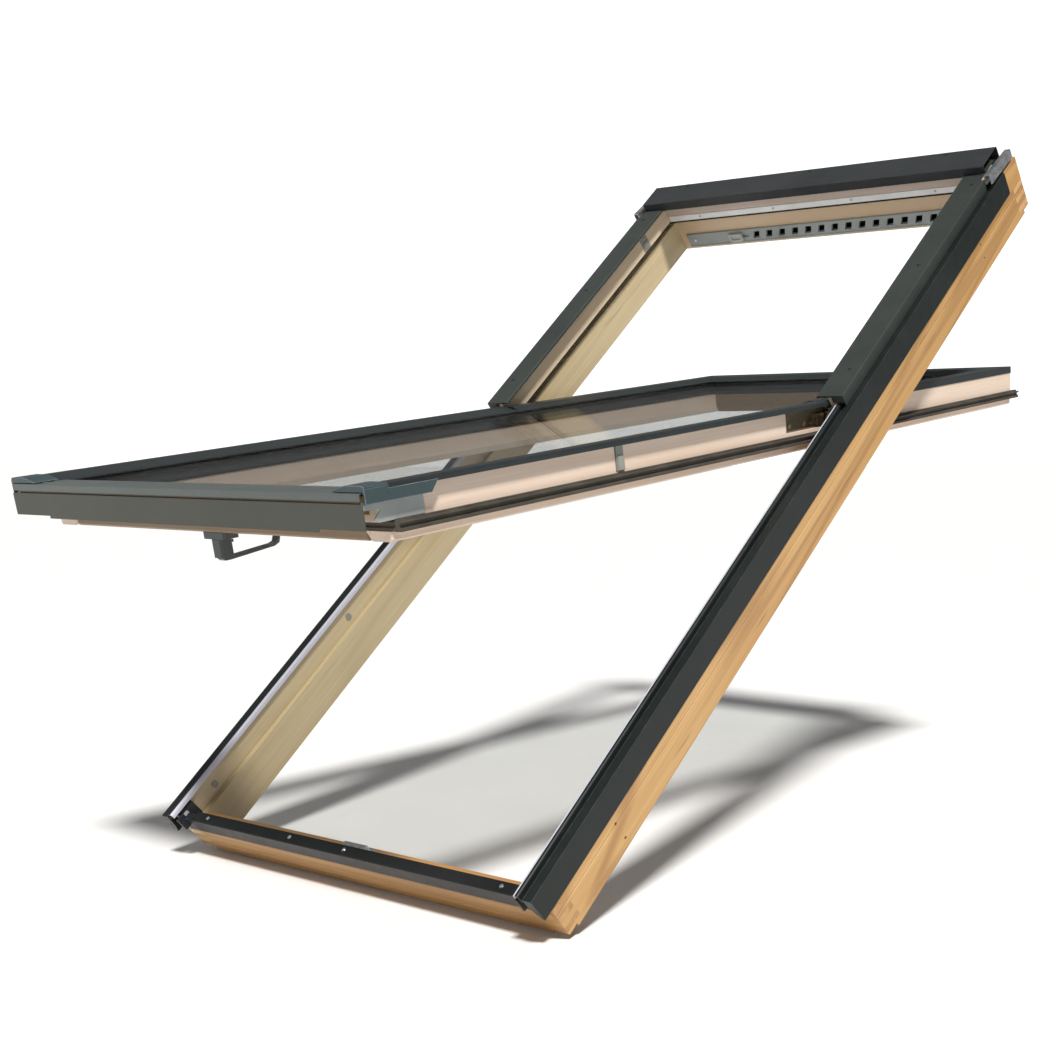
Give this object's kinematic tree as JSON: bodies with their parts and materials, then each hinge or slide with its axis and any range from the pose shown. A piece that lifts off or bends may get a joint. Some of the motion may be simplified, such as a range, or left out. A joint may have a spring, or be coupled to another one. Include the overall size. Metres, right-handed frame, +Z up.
{
  "type": "roof skylight",
  "caption": "Pivoting timber roof skylight with metal covers, lower and raised upper frame covers, hood, ventilation grille, double glazing and a bottom handle, sash open.",
  "frame": {"origin": "centre of the sill's outer end face, on the middle plane between the stiles", "axes": "+X across the width to the right seen from outside, +Z up, +Y horizontal towards the ridge; the frame lies in a roof plane tilted 40 degrees about X"},
  "size_m": [0.7824, 1.5602, 1.114],
  "materials": {
    "frame_wood": "lacquered pine, warm honey tone",
    "frame_wood_pale": "lacquered pine, pale",
    "sill_wood": "lacquered pine",
    "sash_wood": "lacquered pine, pale pinkish",
    "cover_metal": "grey-green coated sheet, satin",
    "cover_dark": "dark coated sheet, satin",
    "channel_metal": "dark coated sheet, satin",
    "apron_metal": "coated sheet, matte",
    "galvanised": "galvanised",
    "screw_metal": "zinc plated",
    "hinge_metal": "dark burnished",
    "hinge_screw": "plain",
    "black_plastic": "moulded",
    "grey_plastic": "moulded",
    "plug_plastic": "moulded",
    "white_plastic": "moulded",
    "grille_metal": "satin",
    "slider_plastic": "moulded",
    "rubber": "matte",
    "glass": "clear float",
    "spacer": "dark",
    "handle_metal": "dark satin"
  },
  "bodies": {
    "frame": {"frame_stile_right": "frame_wood", "frame_stile_left": "frame_wood", "frame_head": "frame_wood", "frame_sill": "sill_wood", "stop_batten_right": "frame_wood_pale", "stop_batten_left": "frame_wood_pale", "head_batten": "frame_wood_pale", "side_channel_right": "channel_metal", "side_channel_left": "channel_metal", "raised_cover_right": "cover_metal", "raised_cover_left": "cover_metal", "head_hood": "cover_dark", "sill_cover": "cover_metal", "corner_piece_right": "black_plastic", "corner_piece_left": "black_plastic", "head_bracket_right": "galvanised", "head_bracket_left": "galvanised", "vent_strip": "white_plastic", "vent_grille": "grille_metal", "frame_gasket": "rubber", "lock_keeper": "galvanised", "stile_plugs": "plug_plastic", "cover_screws": "screw_metal", "painted_screws": "cover_metal", "batten_clips": "plug_plastic", "pivot_bracket_right": "hinge_metal", "pivot_bracket_left": "hinge_metal"},
    "sash": {"sash_stile_right": "sash_wood", "sash_stile_left": "sash_wood", "sash_bottom_rail": "sash_wood", "sash_top_rail": "sash_wood", "outer_pane": "glass", "inner_pane": "glass", "pane_spacer": "spacer", "sash_cover_right": "cover_metal", "sash_cover_left": "cover_metal", "sash_upper_cover_right": "cover_dark", "sash_upper_cover_left": "cover_dark", "sash_top_cover": "cover_dark", "bottom_ledge": "cover_metal", "bottom_apron": "apron_metal", "corner_cap_right": "cover_metal", "corner_cap_left": "cover_metal", "corner_shield_right": "grey_plastic", "corner_shield_left": "grey_plastic", "side_clips": "plug_plastic", "sash_seal": "rubber", "hinge_arm_right": "hinge_metal", "hinge_arm_left": "hinge_metal", "hinge_screws": "hinge_screw", "handle_base": "handle_metal"},
    "handle": {"handle_lever": "handle_metal"},
    "latch": {"latch_bolt": "galvanised"},
    "vent": {"vent_slider": "slider_plastic"}
  },
  "joints": [
    {"name": "sash_pivot", "type": "hinge", "parent": "frame", "child": "sash", "pos_m": [0, 0.67593, 0.63506], "axis": [-1, 0, 0], "range_deg": [-33.2, 16.4]},
    {"name": "handle_turn", "type": "hinge", "parent": "sash", "child": "handle", "pos_m": [0, -0.18286, 0.48935], "axis": [0, -0.1184, 0.993], "range_deg": [0, 90]},
    {"name": "latch_slide", "type": "slide", "parent": "sash", "child": "latch", "axis": [0, -0.993, -0.1184], "range_m": [0, 0.025]},
    {"name": "vent_slide", "type": "slide", "parent": "frame", "child": "vent", "axis": [1, 0, 0], "range_m": [0, 0.0152]}
  ],
  "couplings": [
    {"joint": "latch_slide", "follows": "handle_turn", "m_per_rad": 0.015914}
  ]
}
